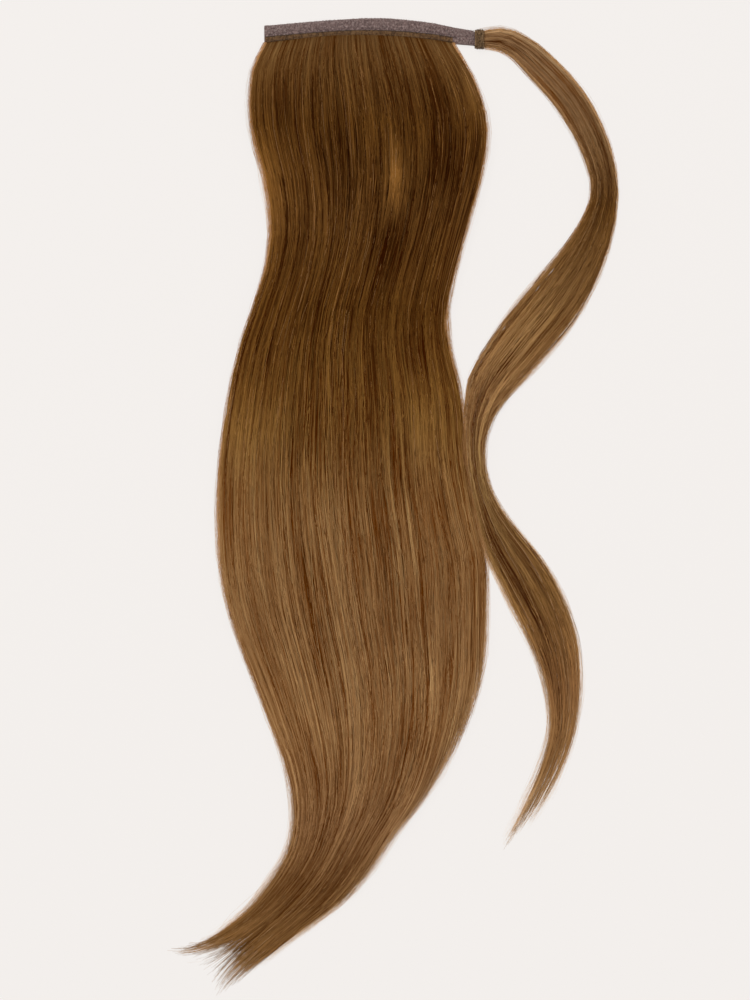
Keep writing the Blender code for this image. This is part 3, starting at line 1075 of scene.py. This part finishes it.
    def comb(self, layer: FibreLayer, rng: Chance) -> Strands:
        """Lays a layer's fibres over the form.

        Args:
            layer: The layer.
            rng: The source of chance.

        Returns:
            The fibres.
        """
        style, width = self.style, self.width()
        u = self.starts(layer, rng)
        even = np.linspace(0.0, 1.0, self.steps)[None, :]
        closer_at_ends = even - 0.5 * np.sin(2 * math.pi * even) / (2 * math.pi)
        t = self.reaches(u[:, 0], layer, rng)[:, None] * closer_at_ends
        overlap = self.root_overlap_mm / self.flow.length
        t = t - overlap * (1 - smooth_step(0.0, style.overlap_run, t))
        shift, ridge = self.wander(np.clip(u, 0, 1), t, rng)
        place = rng.uniform(*style.stray_places, u.shape)
        outward = rng.uniform(*style.stray_sizes, u.shape) * layer.stray_mm / width
        there = np.exp(-(((t - place) / style.stray_run) ** 2))
        shift = shift + np.where(u > 0.5, outward, -outward) * there
        across = self.spread_centre + (u + shift - self.spread_centre) * self.spread(t)
        if layer.place is Place.EDGES:
            outside = u - np.clip(u, 0, 1)
            for cycles in style.veil_cycles:
                size = rng.normal(0, style.veil_wave, u.shape) * self.veil_mm / width
                outside = outside + size * np.sin(2 * math.pi * (cycles * t + rng.random(u.shape)))
            here = np.interp(t * self.flow.length, self.flow.along, self.flow.widths)
            looser = 1 + style.veil_looser * smooth_step(*style.veil_loosens, t)
            outside = outside * looser * np.clip(width / here, *style.veil_widths)
            across = np.clip(u, 0, 1) + shift + outside
        depth = rng.exponential(self.depth_mm, u.shape)
        fanned = rng.normal(0, style.fan * layer.looseness, u.shape)
        across = across + fanned * smooth_step(self.tip_start, self.tip_reach, t)
        x, y, top, bottom = self.flow.surface(across, t)
        shrink = np.clip((top - bottom) / self.full_crown, style.least_depth, 1.0)
        z = np.maximum(top - (depth - style.ridge_mm * ridge) * shrink, bottom + self.skin_mm)
        shift_x, shift_y = self.tip_shift(across, t)
        paths = np.stack([x + shift_x, y + shift_y, z], axis=-1)
        taper = 1.0 - style.thinner_tip * smooth_step(style.thins_from, 1.0, t / t[:, -1:])
        radii = layer.thickness_mm / 2 * rng.uniform(*style.thicknesses, u.shape) * taper
        radii = np.maximum(radii, style.least_radius_mm)
        tone = self.tones(u, t, ridge, depth, rng)
        # Adds the painted highlights and painted shade of the spots to each fibre's tone.
        for spot in self.painted_light_spots:
            away = ((paths[..., 0] - spot.x) / spot.half_width) ** 2
            away = away + ((paths[..., 1] - spot.y) / spot.half_length) ** 2
            tone = tone + spot.gain * np.exp(-away)
        return Strands(paths, radii, tone, t / self.tip_reach)

    def form(self) -> Object:
        """Makes the closed inner form, a little inside the outline, that backs the strands."""
        sections, around = self.form_sections, self.form_sides
        t = np.linspace(self.form_start, self.form_reach, sections)[:, None]
        turn = np.arange(around)[None, :] / around
        near_end = smooth_step(self.form_end_share * self.form_reach, self.form_reach, t)
        inset = self.form_inset_mm / self.width() + self.form_narrowing * near_end
        u = 0.5 - (0.5 - inset) * np.cos(2 * math.pi * turn)
        x, y, top, bottom = self.flow.surface(u, np.broadcast_to(t, u.shape))
        middle = (top + bottom) / 2
        upper = np.broadcast_to(turn < 0.5, u.shape)
        thickness = np.clip((top - bottom) / self.full_crown, self.form_least_sink, 1.0)
        sunk = np.maximum(top - self.form_sink_mm * thickness, middle)
        z = np.where(upper, sunk, np.minimum(bottom + self.form_lift_mm, middle))
        flattened = 1 - self.form_flattening * near_end
        z = bottom + self.skin_mm + (z - bottom - self.skin_mm) * flattened
        points = np.stack([x, y, z], axis=-1)
        number = np.arange(sections * around).reshape(sections, around)
        following = np.roll(number, -1, axis=1)
        corners = [number[:-1], number[1:], following[1:], following[:-1]]
        faces = np.stack(corners, axis=-1).reshape(-1, 4)
        ends = points[[0, -1]].mean(axis=1)
        root, tip = sections * around, sections * around + 1
        caps = [
            np.stack([number[0], following[0], np.full(around, root)], axis=-1),
            np.stack([following[-1], number[-1], np.full(around, tip)], axis=-1),
        ]
        flow = np.zeros((sections * around + 2, 3))
        flow[:-2, 0] = (u * self.width()).ravel()
        flow[:-2, 1] = np.broadcast_to(t * self.flow.length, u.shape).ravel()
        along = np.concatenate([np.broadcast_to(t / self.tip_reach, u.shape).ravel(), [0.0, 1.0]])
        return mesh_object(
            self.form_piece,
            np.concatenate([points.reshape(-1, 3), ends]),
            faces,
            np.concatenate(caps),
            tone=np.interp(along, *FORM_TONES),
            along=along,
            flow=flow,
        )

    def build(self, rng: Chance) -> None:
        """Builds and dresses the form and each layer of fibres."""
        material, loose_material = self.finish.build(), self.loose_finish.build()
        made = [self.form()]
        made[0].data.materials.append(material)
        for layer in self.layers:
            fibres = self.comb(layer, rng)
            for number in range(layer.pieces):
                piece = fibres.share(number, layer.pieces).build(layer.piece)
                if layer.pieces > 1:
                    piece.name = f"{layer.piece.value}_{number + 1}"
                piece.data.materials.append(loose_material if layer.loose else material)
                made.append(piece)
        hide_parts(self.node)
        for piece in made:
            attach(piece, BODY)
            log.info("%s: %d faces", piece.name, len(piece.data.polygons))


@dataclass
class DressedPart:
    """A part whose solid stays and is dressed, with the threads on it as a piece of their own."""

    node: str
    slot: str
    finish: ThreadFinish

    def dress(self, threads: Optional[Object] = None) -> None:
        """Gives the solid its finish, and the threads on it too if there are any."""
        material = self.finish.build()
        if threads is not None:
            threads.data.materials.append(material)
            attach(threads, BODY)
            log.info("%s: %d faces", threads.name, len(threads.data.polygons))
        solid = bpy.data.objects[self.node]
        solid.data.materials.clear()
        solid.data.materials.append(material)
        log.info("%s dressed", self.node)


@dataclass
class LoopTape(DressedPart):
    """The strip of soft loop tape with its tab: a woven ground under a pile of thread loops."""

    node: str = "loop_tape"
    slot: str = "loop_pile"
    loops: int = 2800
    loop_height: float = 0.36
    loop_width: float = 0.55
    thread: float = 0.2
    pile_top: float = 3.4
    rooted: float = 0.1
    edge_gap: float = 0.3
    tab_start: float = 33.5
    tab_end: float = 43.0
    inset: float = 0.25
    loop_points: int = 6
    planted: Pair = (-12.0, 0.3)
    sizes: Pair = (0.6, 1.25)
    lean: float = 0.35
    edge_lean: float = 0.5
    lean_band: Pair = (-1.0, 0.1)
    upper_band: Pair = (-1.8, 0.0)
    lower_band: Pair = (0.4, 2.0)
    # Painted light and painted shade on the pile.
    painted_tape_light: float = 0.4
    lower_shade: float = 0.7
    painted_left_light: float = 0.4
    left_run: float = 16.0
    tone_middle: float = 0.02
    tone_spread: float = 0.03
    # The cloudy mottle and the sheen give the eye a soft, brushed mauve grey without a highlight.
    finish: ThreadFinish = ThreadFinish(
        "napped_loop_pile", "#5C4746", "#79645F", "#9E8A86", mottle_mm=1.1, fibre_mm=0.25, sheen=0.3
    )

    def edges(self, x: Array) -> tuple[Array, Array]:
        """The pile's upper and lower edge at x."""
        top, pile, width = tape_at(x)
        return top, top - np.where(x > self.tab_start, width, pile)

    def build(self, rng: Chance) -> None:
        """Plants the loops on the pile and dresses the tape."""
        left = TAPE_ROWS[0].x
        x = rng.uniform(left + 0.1, self.tab_end, self.loops * 2)
        high, low = self.edges(x)
        y = rng.uniform(*self.planted, len(x)) + high
        kept = np.flatnonzero(y > low + self.inset)[: self.loops]
        x, y, high, low = x[kept], y[kept], high[kept], low[kept]
        turn = rng.uniform(0, math.pi, len(x))
        lean = rng.normal(0, self.lean, (len(x), 2))
        lean[:, 1] += self.edge_lean * smooth_step(*self.lean_band, y - high)
        bend = np.linspace(0, math.pi, self.loop_points)
        across = np.stack([np.cos(turn), np.sin(turn), np.zeros(len(x))], axis=-1)
        up = unit(np.concatenate([lean, np.ones((len(x), 1))], axis=1))
        size = rng.uniform(*self.sizes, (len(x), 1, 1))
        root_z = np.full(len(x), self.pile_top - self.rooted)
        root = np.stack([x, np.minimum(y, high - self.edge_gap), root_z], axis=-1)
        paths = (
            root[:, None]
            + across[:, None] * np.cos(bend)[:, None] * self.loop_width / 2 * size
            + up[:, None] * np.sin(bend)[:, None] * self.loop_height * size
        )
        shape = paths.shape[:2]
        # Painted light and shade on the pile: lighter along its upper edge and towards its left
        # end, and darker low down, a painted shadow where the tape meets the weft.
        edge = smooth_step(*self.upper_band, y - high)
        edge = edge - self.lower_shade * (1 - smooth_step(*self.lower_band, y - low))
        edge = edge + self.painted_left_light * (1 - smooth_step(left, left + self.left_run, x))
        uneven = rng.normal(self.tone_middle, self.tone_spread, (len(x), 1))
        tone = self.painted_tape_light * edge[:, None] + uneven + np.zeros(shape)
        loops = Strands(paths, np.full(shape, self.thread / 2), tone, np.zeros(shape))
        self.dress(loops.build(Piece.TAPE_LOOPS, 3, np.cross(across, up)))


@dataclass
class SewnWeft(DressedPart):
    """The machine-sewn weft: a flat cord under two straight and two slanting rows of stitches."""

    node: str = "weft_band"
    slot: str = "weft_thread"
    left_x: float = -75.2
    right_x: float = 30.4
    width: float = 3.1
    gap: float = 0.3
    top_z: float = 4.28
    pitch: float = 1.35
    thread: float = 0.24
    roundness: float = 0.25
    sunk: float = 0.05
    stitch_points: int = 7
    unevenness: float = 0.08
    thicknesses: Pair = (0.8, 1.2)
    tone_middle: float = -0.02
    tone_spread: float = 0.14
    # The uneven dye gives the eye a dull brown ridge of stitches, duller than the hair below it.
    finish: ThreadFinish = ThreadFinish(
        "sewn_weft_thread", "#3B2710", "#62452A", "#7C5E3C", mottle_mm=1.2, fibre_mm=0.3, sheen=0.15
    )

    def middle(self, x: Array) -> Array:
        """Y of the band's middle at x."""
        top, pile, _ = tape_at(x)
        return top - pile - self.gap - self.width / 2

    def stitches(self, x: Array, row: StitchRow) -> Array:
        """Lines of thread over the band.

        Args:
            x: Where each pitch starts.
            row: The row of stitches.

        Returns:
            A line of points for each stitch.
        """
        share = np.linspace(0.0, 1.0, self.stitch_points)
        along = x[:, None] + row.start + row.run * self.pitch * share
        across = row.low + (row.high - row.low) * share
        rounded = self.roundness * (2 * across / self.width) ** 4
        z = self.top_z - rounded + row.bend * np.sin(math.pi * share) - self.sunk
        y = self.middle(along) + across
        return np.stack([along, y, np.broadcast_to(z, along.shape)], axis=-1)

    def build(self, rng: Chance) -> None:
        """Sews the stitches and dresses the band."""
        starts = np.arange(self.left_x, self.right_x - self.pitch, self.pitch)
        starts = starts + rng.normal(0, self.unevenness, len(starts))
        paths = np.concatenate([self.stitches(starts, row) for row in STITCH_ROWS])
        shape = paths.shape[:2]
        radii = self.thread / 2 * rng.uniform(*self.thicknesses, (shape[0], 1)) + np.zeros(shape)
        tone = rng.normal(self.tone_middle, self.tone_spread, (shape[0], 1)) + np.zeros(shape)
        self.dress(Strands(paths, radii, tone, np.zeros(shape)).build(Piece.WEFT_STITCHES, 5))


@dataclass
class ThreadWhipping(DressedPart):
    """The whipping round the tab's end: thread wound over a sleeve, its last turns crossing."""

    node: str = "wrap_binding"
    slot: str = "whipping_thread"
    centre: tuple[float, float, float] = (45.8, 264.0, 2.75)
    half_y: float = 5.0
    half_z: float = 2.5
    reach: float = 2.5
    thread: float = 0.42
    squareness: float = 4.0
    winding_points: int = 220
    unevenness: float = 0.05
    # The matt thread gives the eye tight brown turns that show only by their own small shadows.
    finish: ThreadFinish = ThreadFinish(
        "whipping_thread", "#382612", "#6A4F30", "#957957", mottle_mm=0.9, fibre_mm=0.3, sheen=0.2
    )

    def wind(self, thread: Winding) -> Array:
        """The line of one thread wound round the sleeve."""
        share = np.linspace(0.0, 1.0, self.winding_points)
        first, last, turns, start, rise = thread
        first, last = first * self.reach, last * self.reach
        angle = 2 * math.pi * (start + turns * share)
        power = 2 / self.squareness
        across, up = np.cos(angle), np.sin(angle)
        lower = np.minimum(0.0, up) * rise
        x = self.centre[0] + first + (last - first) * share
        y = self.centre[1] + (self.half_y + rise) * np.sign(across) * np.abs(across) ** power
        z = self.centre[2] + (self.half_z + rise) * np.sign(up) * np.abs(up) ** power - lower
        return np.stack([x, y, z], axis=-1)

    def build(self, rng: Chance) -> None:
        """Winds the thread and dresses the sleeve."""
        paths = np.stack([self.wind(thread) for thread in WINDINGS])
        shape = paths.shape[:2]
        paths[..., 0] += rng.normal(0, self.unevenness, shape)
        reference = np.zeros((shape[0], 3)) + (1.0, 0.0, 0.0)
        turns = Strands(paths, np.full(shape, self.thread / 2), np.zeros(shape), np.zeros(shape))
        self.dress(turns.build(Piece.WHIPPING_TURNS, 6, reference))


@dataclass
class HookPatch(DressedPart):
    """The hook patch under the tab."""

    node: str = "hook_patch"
    slot: str = "hook_nylon"
    # The smoother nylon gives the eye a flat dark weave with a faint gloss, seen from below.
    finish: ThreadFinish = ThreadFinish(
        "hook_tape_nylon",
        "#463836",
        "#5C4B48",
        "#716059",
        mottle_mm=0.8,
        fibre_mm=0.35,
        roughness=0.6,
    )


@dataclass
class Studio:
    """A pale paper sweep, soft lights and the camera straight above."""

    middle_x: float = -13.3
    middle_y: float = 2.8
    frame_height: float = 566.0
    focus_z: float = 5.0
    lens: float = 85.0
    sensor: float = 36.0
    floor_side: float = 9000.0
    view_reach_m: float = 20.0
    sky: str = "#F6F3F1"
    sky_strength: float = 0.55
    floor: FloorFinish = FloorFinish("#F4F0ED", 0.92)

    def hang(self, light: SoftLight) -> None:
        """Hangs a light so that it faces the object."""
        lamp = bpy.data.lights.new(light.name, "AREA")
        lamp.size = light.size * MM
        lamp.energy = light.power
        hung = bpy.data.objects.new(light.name, lamp)
        bpy.context.scene.collection.objects.link(hung)
        hung.location = [c * MM for c in light.place]
        hung.rotation_euler = (-hung.location).to_track_quat("-Z", "Y").to_euler()

    def build(self) -> None:
        """Lays the sweep, hangs the lights and sets the camera."""
        bpy.ops.object.select_all(action="DESELECT")
        bpy.ops.mesh.primitive_plane_add(size=self.floor_side * MM)
        floor = bpy.context.active_object
        floor.name = Piece.FLOOR.value
        floor.data.materials.append(self.floor.build())
        world = bpy.data.worlds.new("studio")
        world.use_nodes = True
        tree = world.node_tree
        tree.nodes.clear()
        glow = {"Color": linear_colour(self.sky), "Strength": self.sky_strength}
        sky = add_node(tree, "Background", glow)
        add_node(tree, "OutputWorld", {"Surface": sky.outputs["Background"]})
        scene = bpy.context.scene
        scene.world = world
        for light in LIGHTS:
            self.hang(light)
        camera = bpy.data.cameras.new("camera")
        camera.lens = self.lens
        camera.sensor_width = self.sensor
        camera.clip_end = self.view_reach_m
        held = bpy.data.objects.new("camera", camera)
        scene.collection.objects.link(held)
        distance = self.frame_height * self.lens / self.sensor
        held.location = [c * MM for c in (self.middle_x, self.middle_y, distance + self.focus_z)]
        scene.camera = held
        scene.view_settings.view_transform = "Standard"
        log.info("studio ready")


def fall_of_hair() -> HairBody:
    """The main fall, sewn to the weft."""
    # Part dye and part painted light: the lighter bands down the length are painted sheen, and the
    # lightest tips are partly painted light shining through the thin ends.
    stops = tuple(FibreColourAndPaintedLight(*row) for row in (
        (0.0, "#562F09", "#7D5C36"),
        (0.04, "#462205", "#805A2E"),
        (0.08, "#361502", "#7F5524"),
        (0.16, "#361501", "#865B2B"),
        (0.26, "#3B1601", "#7C5322"),
        (0.34, "#491C00", "#946932"),
        (0.38, "#532401", "#A0763E"),
        (0.46, "#6C3704", "#B08857"),
        (0.56, "#693606", "#B58C5C"),
        (0.66, "#6F3A08", "#C09664"),
        (0.76, "#5B2D05", "#B2875A"),
        (0.83, "#542A04", "#9C7448"),
        (0.92, "#512E09", "#996F41"),
        (1.0, "#86602E", "#CDA473"),
    ))
    # Painted light: the loose fibres are lighter than the combed hair, standing in for light
    # shining through thin hairs at the edges and glinting on loose hairs over the top.
    loose_backlit_stops = (
        FibreColourAndPaintedLight(0.0, "#A07040", "#C89662"),
        FibreColourAndPaintedLight(0.3, "#A2703C", "#CC9A64"),
        FibreColourAndPaintedLight(1.0, "#B48852", "#E6C094"),
    )
    return HairBody(
        flow=HairFlow(
            np.array(FALL_ROWS), bow_height=4.3, root_fullness=0.6, snug_right=(0.38, 0.55)
        ),
        tips=FALL_TIPS,
        node="hair_fall",
        slot="fall_hair",
        form_piece=Piece.FALL_FORM,
        finish=HairFinish("straight_hair_fibre", stops),
        loose_finish=HairFinish("loose_fine_hair_fibre", loose_backlit_stops),
        layers=(
            FibreLayer(Piece.FALL_HAIR, 3, 2850, Place.ALL_OVER, 0.38, 0.0, 0.3, 0.3, False),
            FibreLayer(Piece.FALL_VEIL, 1, 230, Place.EDGES, 0.09, 0.0, 0.5, 0.2, True),
            FibreLayer(Piece.FALL_STRAYS, 1, 8, Place.EDGES, 0.06, 1.2, 1.0, 0.2, True),
            FibreLayer(Piece.FALL_WISPS, 1, 160, Place.ALL_OVER, 0.14, 0.0, 0.8, 1.0, True),
        ),
        painted_light_spots=FALL_PAINTED_LIGHT,
    )


def wrapping_strand() -> HairBody:
    """The long strand that is wound round the base."""
    # Part dye and part painted light: the lighter bands along the length are painted sheen, and the
    # lightest tips are partly painted light shining through the thin ends.
    stops = tuple(FibreColourAndPaintedLight(*row) for row in (
        (0.0, "#4A260C", "#BD9468"),
        (0.09, "#74400B", "#AA8A64"),
        (0.24, "#321404", "#7F5628"),
        (0.37, "#562903", "#AB8250"),
        (0.48, "#572502", "#C09460"),
        (0.56, "#582501", "#AA8654"),
        (0.70, "#401300", "#A57A46"),
        (0.80, "#431B02", "#AF7F4F"),
        (0.89, "#663A0F", "#BA8E5C"),
        (1.0, "#A87C48", "#EBC9A0"),
    ))
    # Painted light: the loose fibres are lighter, standing in for light shining through thin hairs
    # and glinting on loose ones.
    loose_backlit_stops = (FibreColourAndPaintedLight(0.0, "#AA7A46", "#D2A26C"), FibreColourAndPaintedLight(1.0, "#BC905A", "#EAC69A"))
    return HairBody(
        flow=HairFlow(edges_of(STRAND_ROWS), inset=1.4, root_fullness=0.0, snug_left=(0.48, 0.64)),
        tips=STRAND_TIPS,
        node="wrap_strand",
        slot="strand_hair",
        form_piece=Piece.STRAND_FORM,
        finish=HairFinish("straight_hair_fibre_light", stops),
        loose_finish=HairFinish("loose_fine_hair_fibre_light", loose_backlit_stops),
        layers=(
            FibreLayer(Piece.STRAND_HAIR, 1, 630, Place.ALL_OVER, 0.34, 0.0, 0.4, 0.3, False),
            FibreLayer(Piece.STRAND_VEIL, 1, 150, Place.EDGES, 0.08, 0.0, 0.6, 0.6, True),
            FibreLayer(Piece.STRAND_STRAYS, 1, 6, Place.EDGES, 0.06, 1.0, 1.0, 0.5, True),
            FibreLayer(Piece.STRAND_WISPS, 1, 60, Place.ALL_OVER, 0.14, 0.0, 0.8, 1.0, True),
        ),
        steps=45,
        bunch_mm=(1.2, 3.0),
        lock_mm=4.5,
        lock_drift_mm=1.3,
        streaks=(StreakLayer(0.6, 30.0, 0.30), StreakLayer(1.3, 70.0, 0.36)),
        root_gap_mm=2.0,
        root_overlap_mm=0.0,
        crossing_share=0.25,
        crossing_mm=1.2,
        spread_start=0.72,
        spread_gain=0.3,
        spread_centre=0.35,
        form_reach=0.90,
        tip_start=0.90,
        body_reach=0.965,
        tip_reach=1.02,
        reach_loss=0.10,
        depth_mm=0.6,
        full_crown=8.0,
        edge_mm=1.8,
        painted_edge_backlight=0.2,
        veil_mm=0.8,
        painted_light_spots=STRAND_PAINTED_LIGHT,
    )


def main() -> None:
    """Builds the hairpiece and its studio in order."""
    logging.basicConfig(level=logging.INFO, format="%(name)s: %(message)s")
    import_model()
    rng, fall_rng, strand_rng = (np.random.default_rng(SEED + n) for n in range(3))
    Studio().build()
    LoopTape().build(rng)
    SewnWeft().build(rng)
    ThreadWhipping().build(rng)
    HookPatch().dress()
    fall_of_hair().build(fall_rng)
    wrapping_strand().build(strand_rng)


if __name__ == "__main__":
    main()
